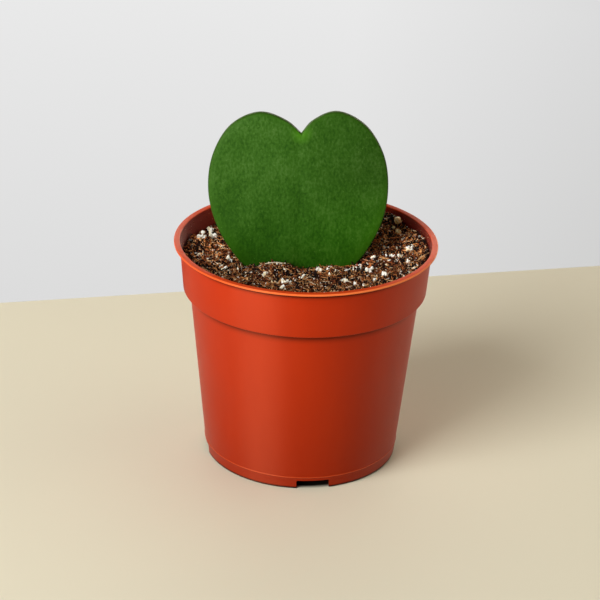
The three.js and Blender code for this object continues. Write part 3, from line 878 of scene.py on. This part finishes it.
# %% Bed
BED_SUNK = 0.35 * MM  # the bed lies this far below the crumbs' mean level
BED_STEPS = 360
BED_RINGS = 80
BED_TOP_Z = 80 * MM  # any height that only the top reaches
bed_corners = [
    (0, floor_top_z + 0.3 * MM),
    (wall_radius(floor_top_z) - WALL - 0.5 * MM, floor_top_z + 0.3 * MM),
    (wall_radius(ledge_z) - WALL - 0.5 * MM, ledge_z + 0.3 * MM),
    (band_radius(ledge_z) - WALL - 0.5 * MM, ledge_z + 0.3 * MM),
]
bed_rings = [(MIX_RADIUS * (1 - ring / BED_RINGS), BED_TOP_Z) for ring in range(BED_RINGS + 1)]
bed = spun("peat_bed", bed_corners + bed_rings, BED_STEPS)
bed_places = coordinates(bed)
on_top = bed_places[:, 2] > BED_TOP_Z - 0.1 * MM
tops = bed_places[on_top]
ripple = np.array([noise.noise(Vector(place) / (1.3 * MM)) for place in tops]) * 0.45 * MM
ripple += np.array([noise.noise(Vector(place) / (0.6 * MM)) for place in tops]) * 0.3 * MM
bed_places[on_top, 2] = mix_height(tops[:, 0], tops[:, 1]) - BED_SUNK + ripple
move_corners(bed, bed_places)
select_only(bed)
bpy.ops.object.shade_flat()

# %% [markdown]
# ## Potting mix: crumbs
#
# A crumb starts as a ball with few faces, or a splinter as a small cone, whose corners are drawn in
# and out. A dozen of them are modelled, and the thousands on the bed are copies, each turned,
# stretched and sized at random from a fixed seed. Each carries a tone from 0 to 1 in an attribute,
# which the material turns into a colour. Moist peat with bark is a mix of near-black, mid brown
# and tan bits, so neighbouring crumbs differ strongly in tone.

# %% Crumbs
CRUMB_KINDS = 12
draw = np.random.default_rng(SEED)


def as_arrays(piece):
    """Turn a piece into its corners and its triangles, which face outwards, and delete it."""
    bpy.ops.object.mode_set(mode="EDIT")
    bpy.ops.mesh.select_all(action="SELECT")
    bpy.ops.mesh.quads_convert_to_tris()
    bpy.ops.mesh.normals_make_consistent(inside=False)
    bpy.ops.object.mode_set(mode="OBJECT")
    corners = coordinates(piece)
    faces = np.array([list(face.vertices) for face in piece.data.polygons])
    bpy.data.objects.remove(piece)
    return corners, faces


def crumb_shapes(count, unevenness, pointed):
    """Model some uneven balls of 20 faces, or pointed bits of 6, and return corners and faces."""
    shapes = []
    for _ in range(count):
        if pointed:
            crumb = added(bpy.ops.mesh.primitive_cone_add, vertices=4, radius1=1, depth=1.6)
        else:
            crumb = added(bpy.ops.mesh.primitive_ico_sphere_add, subdivisions=1, radius=1)
        corners, faces = as_arrays(crumb)
        shapes.append((corners * (1 + unevenness * (draw.random((len(corners), 1)) - 0.5)), faces))
    return shapes


def random_turns(count):
    """Random rotation matrices, evenly spread, from random unit quaternions."""
    q = draw.normal(size=(count, 4))
    w, x, y, z = (q / np.linalg.norm(q, axis=1, keepdims=True)).T
    rows = [
        [1 - 2 * (y * y + z * z), 2 * (x * y - z * w), 2 * (x * z + y * w)],
        [2 * (x * y + z * w), 1 - 2 * (x * x + z * z), 2 * (y * z - x * w)],
        [2 * (x * z - y * w), 2 * (y * z + x * w), 1 - 2 * (x * x + y * y)],
    ]
    return np.array(rows).transpose(2, 0, 1)


def one_mesh(name, corner_lists, face_lists, tones):
    """Join copies into one object, with each copy's tone on its corners."""
    starts = np.cumsum([0] + [len(corners) for corners in corner_lists[:-1]])
    corners = np.concatenate(corner_lists)
    faces = np.concatenate([face_list + start for face_list, start in zip(face_lists, starts)])
    mesh = bpy.data.meshes.new(name)
    mesh.from_pydata(corners.tolist(), [], faces.tolist())
    piece = bpy.data.objects.new(name, mesh)
    bpy.context.scene.collection.objects.link(piece)
    store(piece, "tone", np.repeat(tones, [len(corners) for corners in corner_lists]))
    print(name, "has", len(corner_lists), "copies and", len(faces), "faces")
    return piece


# %% What crumbs keep clear of
def is_clear(place, radius):
    """Whether a crumb stays outside the leaf and doesn't cover one of the larger grains."""
    nearest, normal, _, _ = leaf_tree.find_nearest(place)
    offset = Vector(place) - nearest
    if offset.dot(normal) < 0 or offset.length < 0.7 * radius:
        return False
    apart = np.hypot(grain_middles[:, 0] - place[0], grain_middles[:, 1] - place[1])
    return not np.any((apart < 0.8 * grain_radii) & (place[2] > grain_middles[:, 2] - 0.5 * grain_radii))


def scatter(name, count, sizes, build, lift, tones, material, slot, unevenness=0.6, pointed=False):
    """Strew copies of a dozen crumbs over the bed, more small ones than large ones.

    Sizes are the least and the greatest radius in millimetres, build says how long, wide and thick
    a crumb is in radii, and lift is how far above and below the mix's mean level they lie, also in
    radii.
    """
    shapes = crumb_shapes(CRUMB_KINDS, unevenness, pointed)
    radii = (sizes[0] + (sizes[1] - sizes[0]) * draw.random(count) ** 2) * MM
    reach = np.sqrt(draw.random(count)) * (MIX_RADIUS - 0.8 * radii)
    around = draw.random(count) * 2 * np.pi
    places = np.stack([reach * np.cos(around), reach * np.sin(around), np.zeros(count)], axis=1)
    places[:, 2] = mix_height(places[:, 0], places[:, 1]) + lift * radii * (2 * draw.random(count) - 1)
    stretches = np.array(build) * (0.75 + 0.5 * draw.random((count, 3)))
    turns = random_turns(count)
    kinds = draw.integers(len(shapes), size=count)
    kept = [i for i in range(count) if is_clear(places[i], radii[i])]
    corner_lists = [
        (shapes[kinds[i]][0] * stretches[i] * radii[i]) @ turns[i].T + places[i] for i in kept
    ]
    face_lists = [shapes[kinds[i]][1] for i in kept]
    finish_piece(one_mesh(name, corner_lists, face_lists, tones(count)[kept]), material, slot)


# %% Moist peat, in its range of tones
BARK_PATCH = Vector((20.5, -5, 86)) * MM
PAINTED_LIGHT_PATCHES = [((38, 14, 88), 1.7), ((-44, 2, 86), 2.0)]  # painted light: middles in millimetres, and how much paler each is drawn


def moist_peat():
    """Moist peat and bark: matt and rough, near-black in the gaps and tan on the dry shreds, with two
    patches of painted light.
    """
    material, tree, shader = new_material("moist_peat_and_bark")
    tone = add_node(tree, "ShaderNodeAttribute", attribute_name="tone").outputs["Fac"]
    place = add_node(tree, "ShaderNodeTexCoord").outputs["Object"]
    colour = add_node(
        tree, "ShaderNodeValToRGB", {0: tone},
        stops=[
            (0.0, "#0a0402"), (0.3, "#240f07"), (0.5, "#6a3319"), (0.7, "#a6582c"),
            (0.85, "#d88e4e"), (0.95, "#f4c084"), (1.0, "#fff0d0"),
        ],
    )
    # the grain of a single crumb, 0.4 mm, is as fine as the picture can show
    grain = add_node(
        tree, "ShaderNodeTexNoise",
        {"Vector": place, "Scale": 1 / 0.0004, "Detail": 2.0, "Roughness": 0.6},
    )
    shade = add_node(
        tree, "ShaderNodeValToRGB", {0: grain.outputs["Fac"]}, stops=[(0.36, "#8c8c8c"), (0.56, "#ffffff")],
    )
    shaded = add_node(
        tree, "ShaderNodeMix", {0: 1.0, 6: colour.outputs[0], 7: shade.outputs[0]},
        data_type="RGBA", blend_type="MULTIPLY",
    )
    # one patch right of the leaf is redder, where there is more bark
    to_bark = add_node(tree, "ShaderNodeVectorMath", {0: place, 1: BARK_PATCH}, operation="DISTANCE")
    bark_share = add_node(
        tree, "ShaderNodeMapRange",
        {
            "Value": to_bark.outputs["Value"], "From Min": 0.003, "From Max": 0.009,
            "To Min": 0.8, "To Max": 0.0,
        },
    )
    reddened = add_node(
        tree, "ShaderNodeMix", {0: bark_share.outputs[0], 6: shaded.outputs[2], 7: linear("#ffb89c")},
        data_type="RGBA", blend_type="MULTIPLY",
    )
    # right behind the leaf and along the left wall the mix is painted paler: painted light where the leaf
    # and the lip cast shade
    colour = reddened.outputs[2]
    for patch, brightening in PAINTED_LIGHT_PATCHES:
        to_lit_patch = add_node(
            tree, "ShaderNodeVectorMath", {0: place, 1: Vector(patch) * MM}, operation="DISTANCE",
        )
        painted_light_share = add_node(
            tree, "ShaderNodeMapRange",
            {
                "Value": to_lit_patch.outputs["Value"], "From Min": 0.006, "From Max": 0.02,
                "To Min": 1.0, "To Max": 0.0,
            },
        )
        colour = add_node(
            tree, "ShaderNodeHueSaturation",
            {"Color": colour, "Value": brightening, "Fac": painted_light_share.outputs[0]},
        ).outputs[0]
    tree.links.new(colour, shader.inputs["Base Color"])
    shader.inputs["Roughness"].default_value = 0.9
    shader.inputs["Specular IOR Level"].default_value = 0.25
    bump = add_node(
        tree, "ShaderNodeBump",
        {"Height": grain.outputs["Fac"], "Strength": 0.5, "Distance": 0.0003},
    )
    tree.links.new(bump.outputs[0], shader.inputs["Normal"])
    return material


# %% Bed and crumbs
def dark_tones(count):
    """Mostly dark tones for lumps of peat, and a few mid browns."""
    return 0.05 + 0.6 * draw.random(count) ** 1.6


def mixed_tones(count):
    """Tones for shreds: nearly half near-black, a quarter mid brown, and the rest tan."""
    kind, spread = draw.random(count), draw.random(count)
    return np.select([kind < 0.45, kind < 0.71], [0.28 * spread, 0.42 + 0.23 * spread], 0.73 + 0.25 * spread)


peat = moist_peat()
# the bed is near-black: dark moist peat, and painted shade in the gaps between the crumbs
store(bed, "tone", np.full(len(bed_places), 0.05))
finish_piece(bed, peat, "potting_mix", "potting_mix")
in_mix = (peat, "potting_mix")
scatter("coarse_crumbs", 800, (0.45, 1.1), (1.0, 0.8, 0.6), 0.3, dark_tones, *in_mix)
scatter("bark_shreds", 6000, (0.3, 0.85), (2.1, 0.55, 0.3), 0.9, mixed_tones, *in_mix)
scatter("medium_crumbs", 5000, (0.25, 0.5), (1.2, 0.9, 0.6), 1.3, mixed_tones, *in_mix)
scatter("fine_crumbs", 7000, (0.18, 0.34), (1.5, 0.8, 0.6), 1.9, mixed_tones, *in_mix)
scatter("splinters", 15000, (0.18, 0.4), (2.3, 0.55, 0.4), 2.2, mixed_tones, *in_mix, pointed=True)


# %% Fibres
def straight_rod(sides, steps):
    """A rod of length 1 and radius 1 along X, extruded step by step: its corners and triangles."""
    rod = added(
        bpy.ops.mesh.primitive_circle_add, vertices=sides, radius=1, fill_type="NGON",
        rotation=(0, math.pi / 2, 0), location=(-0.5, 0, 0),
    )
    bpy.ops.object.transform_apply(location=True, rotation=True)
    bpy.ops.object.mode_set(mode="EDIT")
    bpy.ops.mesh.select_all(action="SELECT")
    for _ in range(steps):
        bpy.ops.mesh.extrude_region_move(TRANSFORM_OT_translate={"value": (1 / steps, 0, 0)})
    bpy.ops.object.mode_set(mode="OBJECT")
    return as_arrays(rod)


def bent(corners, length, girth, bow):
    """Give a straight rod its length and radius, taper it and bow it towards Z."""
    share = corners[:, 0]
    radius = girth * (1 - 1.5 * share ** 2)
    return np.stack([
        share * length, corners[:, 1] * radius, bow * length * (0.25 - share ** 2) + corners[:, 2] * radius,
    ], axis=1)


fibre_corners, fibre_faces = straight_rod(4, 5)


def strew_fibres(name, count, shortest, longest, girth, material, slot):
    """Lay thin bent fibres on the bed, nearly level, in all directions."""
    corner_lists = []
    while len(corner_lists) < count:
        length = shortest + (longest - shortest) * draw.random() ** 2
        corners = bent(fibre_corners, length, girth * (0.6 + 0.8 * draw.random()), 1.2 * draw.random() - 0.2)
        pose = (
            Matrix.Rotation(draw.random() * 2 * math.pi, 3, "Z")
            @ Matrix.Rotation(draw.normal() * 0.25, 3, "Y")
            @ Matrix.Rotation(draw.random() * 2 * math.pi, 3, "X")
        )
        reach = math.sqrt(draw.random()) * (MIX_RADIUS - 0.6 * length)
        around = draw.random() * 2 * math.pi
        x, y = reach * math.cos(around), reach * math.sin(around)
        z = float(mix_height(x, y)) + (0.3 + 0.5 * draw.random()) * MM
        if is_clear((x, y, z), 0.4 * length):
            corner_lists.append(corners @ np.array(pose).T + (x, y, z))
    tones = 0.55 + 0.45 * draw.random(count)
    finish_piece(one_mesh(name, corner_lists, [fibre_faces] * count, tones), material, slot)


strew_fibres("coir_fibres", 1300, 1.2 * MM, 5 * MM, 0.15 * MM, *in_mix)


# %% [markdown]
# Two longer bits catch the eye: a pale rootlet that arches over the mix at the foot of the leaf,
# and a straw that leans on the wall at the right. Each is one rod, bent between its two ends.

# %% Rootlet and straw
stout_corners, stout_faces = straight_rod(8, 12)


def laid_rod(name, start, end, girth, bow, tone):
    """Bend one rod from start to end, in metres, bowed upwards."""
    start, end = Vector(start), Vector(end)
    corners = bent(stout_corners, (end - start).length, girth, bow)
    pose = np.array((end - start).to_track_quat("X", "Z").to_matrix())
    rod = one_mesh(name, [corners @ pose.T + np.array((start + end) / 2)], [stout_faces], np.array([tone]))
    finish_piece(rod, *in_mix)


def on_mix(x, y, above):
    """A place this far above the mix, in millimetres."""
    return (x * MM, y * MM, float(mix_height(x * MM, y * MM)) + above * MM)


laid_rod("rootlet", on_mix(-18.5, -14.6, 0.4), on_mix(-8.5, -13.2, 0.5), 0.22 * MM, 0.35, 1.0)
straw_top = (48.9 * MM, -4.2 * MM, POT_HEIGHT - 2.2 * MM)
laid_rod("straw", on_mix(44.2, -9.6, 0.6), straw_top, 0.3 * MM, 0.12, 0.93)


# %% [markdown]
# The wall inside carries dust and crumbs that stuck to it when the pot was filled, most of it just
# above the mix.

# %% Dust on the wall
def inner_radius(z):
    """The inside of the band, up to the lip."""
    return np.interp(
        z, [ledge_z, POT_HEIGHT - 3 * MM, POT_HEIGHT - 0.5 * MM],
        [band_radius(ledge_z) - WALL, band_radius(POT_HEIGHT) - WALL, LIP_RADIUS - LIP_WIDTH - 0.12 * MM],
    )


DUST_COUNT = 900
dust_shapes = crumb_shapes(CRUMB_KINDS, 0.8, True)
dust_around = draw.random(DUST_COUNT) * 2 * np.pi
foot_z = mix_height(MIX_RADIUS * np.cos(dust_around), MIX_RADIUS * np.sin(dust_around))
dust_z = foot_z + (POT_HEIGHT - 0.8 * MM - foot_z) * draw.random(DUST_COUNT) ** 2.2
dust_out = inner_radius(dust_z) - 0.03 * MM
dust_places = np.stack([dust_out * np.cos(dust_around), dust_out * np.sin(dust_around), dust_z], axis=1)
dust_sizes = (0.06 + 0.16 * draw.random(DUST_COUNT) ** 2) * MM
dust_corners = [
    (dust_shapes[i % CRUMB_KINDS][0] * dust_sizes[i]) @ turn.T + dust_places[i]
    for i, turn in enumerate(random_turns(DUST_COUNT))
]
dust_faces = [dust_shapes[i % CRUMB_KINDS][1] for i in range(DUST_COUNT)]
finish_piece(one_mesh("wall_dust", dust_corners, dust_faces, mixed_tones(DUST_COUNT)), *in_mix)

# %% [markdown]
# ## Perlite
#
# Perlite is volcanic glass that was popped like corn: white, light and full of pits. A grain is
# rarely round. It is a clump of popped bits with crevices between them. So each larger grain starts
# as a few balls where the frame's grain lies, which a voxel remesh melts into one skin, and noise
# then gives it pits. Small chips lie all over the mix.

# %% Expanded perlite
GRAIN_VOXEL = 0.1 * MM
PERLITE_BUILD = (9, 0.64, 0.22 * MM)  # how many balls, how far spread, and how rough


def expanded_perlite():
    """Popped volcanic glass: chalk white, matt and pitted, stained cream by the peat."""
    material, tree, shader = new_material("expanded_perlite")
    place = add_node(tree, "ShaderNodeTexCoord").outputs["Object"]
    stain = add_node(tree, "ShaderNodeTexNoise", {"Vector": place, "Scale": 1 / 0.0022, "Detail": 3.0})
    tint = add_node(
        tree, "ShaderNodeValToRGB", {0: stain.outputs["Fac"]},
        stops=[(0.3, "#f0dca8"), (0.4, "#fff6d8"), (0.5, "#fffef6")],
    )
    tree.links.new(tint.outputs[0], shader.inputs["Base Color"])
    shader.inputs["Roughness"].default_value = 0.85
    pits = add_node(tree, "ShaderNodeTexVoronoi", {"Vector": place, "Scale": 1 / 0.0005})
    bump = add_node(
        tree, "ShaderNodeBump",
        {"Height": pits.outputs["Distance"], "Strength": 0.6, "Distance": 0.0003},
    )
    tree.links.new(bump.outputs[0], shader.inputs["Normal"])
    return material


def melted_grain(name, middle, size, lumps, spread, roughness):
    """Melt a few balls inside a box of this middle and size into one grain, and roughen its skin."""
    balls = []
    for _ in range(lumps):
        ball = added(bpy.ops.mesh.primitive_ico_sphere_add, subdivisions=2, radius=0.5)
        ball.scale = size * (1 - spread) * (0.75 + 0.5 * draw.random(3))
        ball.rotation_euler = draw.random(3) * 6
        ball.location = middle + (draw.random(3) - 0.5) * size * spread
        bpy.ops.object.transform_apply(location=True, rotation=True, scale=True)
        balls.append(ball)
    select_only(balls[0])
    for ball in balls:
        ball.select_set(True)
    bpy.ops.object.join()
    grain = balls[0]
    grain.name = name
    modifier = grain.modifiers.new("melt", "REMESH")
    modifier.mode = "VOXEL"
    modifier.voxel_size = GRAIN_VOXEL
    bpy.ops.object.modifier_apply(modifier=modifier.name)
    places = coordinates(grain)
    shifts = np.array([
        noise.noise_vector(Vector(place) / (0.8 * MM))
        + 0.5 * noise.noise_vector(Vector(place) / (0.35 * MM))
        for place in places
    ])
    move_corners(grain, places + roughness * shifts)
    bpy.ops.object.shade_smooth_by_angle(angle=math.radians(40))
    return grain


white_grain = expanded_perlite()
for node, middle, radius in zip(grain_nodes, grain_middles, grain_radii):
    if node.startswith("perlite_"):
        sides = radius * np.array((2.5, 2.3, 1.8))
        settled = middle - radius * np.array((0, 0.45, 0.35))
        grain = melted_grain("popped_" + node, settled, sides, *PERLITE_BUILD)
        finish_piece(grain, white_grain, "perlite", node)


def even_tones(count):
    """Any tone, for grains whose finish doesn't use it."""
    return draw.random(count)


as_perlite = (even_tones, white_grain, "perlite")
scatter("perlite_chips", 420, (0.3, 0.8), (1.5, 0.9, 0.5), 1.1, *as_perlite, unevenness=1.1)
scatter("perlite_dust", 1100, (0.16, 0.32), (1.4, 1.0, 0.7), 2.2, *as_perlite, unevenness=0.9)


# %% [markdown]
# ## Prills
#
# Slow-release fertiliser comes as small round balls in a beige resin coat. Two are the frame's, and
# a third, small one lies between them.

# %% Prills
PRILL_BUILD = (3, 0.1, 0.1 * MM)


def resin_coat():
    """A smooth beige resin skin with darker mottles, which gives a small soft highlight."""
    material, tree, shader = new_material("resin_coated_prill")
    place = add_node(tree, "ShaderNodeTexCoord").outputs["Object"]
    mottle = add_node(tree, "ShaderNodeTexNoise", {"Vector": place, "Scale": 1 / 0.0009, "Detail": 3.0})
    tint = add_node(
        tree, "ShaderNodeValToRGB", {0: mottle.outputs["Fac"]},
        stops=[(0.35, "#c08c40"), (0.46, "#f6cc84"), (0.58, "#fff0c8")],
    )
    tree.links.new(tint.outputs[0], shader.inputs["Base Color"])
    shader.inputs["Roughness"].default_value = 0.4
    return material


prill_finish = resin_coat()
for node, middle, radius in zip(grain_nodes, grain_middles, grain_radii):
    if node.startswith("prill_"):
        settled = middle + radius * np.array((0, -0.4, 0.25))
        grain = melted_grain("coated_" + node, settled, np.full(3, 2.2 * radius), *PRILL_BUILD)
        finish_piece(grain, prill_finish, "prill_coat", node)
small_prill = melted_grain(
    "coated_small_prill", np.array(on_mix(35.6, 24.9, 0.7)), np.full(3, 1.6 * MM), *PRILL_BUILD,
)
finish_piece(small_prill, prill_finish, "prill_coat")


# %% [markdown]
# ## Roots
#
# The roots are hidden in the mix, so the frame's own shape stays and only gets its material.

# %% Roots
def young_root():
    """The matt, pale skin of a young root."""
    material, tree, shader = new_material("young_root_skin")
    place = add_node(tree, "ShaderNodeTexCoord").outputs["Object"]
    skin = add_node(tree, "ShaderNodeTexNoise", {"Vector": place, "Scale": 1 / 0.0015, "Detail": 4.0})
    tint = add_node(
        tree, "ShaderNodeValToRGB", {0: skin.outputs["Fac"]}, stops=[(0.35, "#b79a6c"), (0.65, "#e2cfa8")],
    )
    tree.links.new(tint.outputs[0], shader.inputs["Base Color"])
    shader.inputs["Roughness"].default_value = 0.8
    return material


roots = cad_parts["roots"]
roots.data.materials.clear()
roots.data.materials.append(young_root())
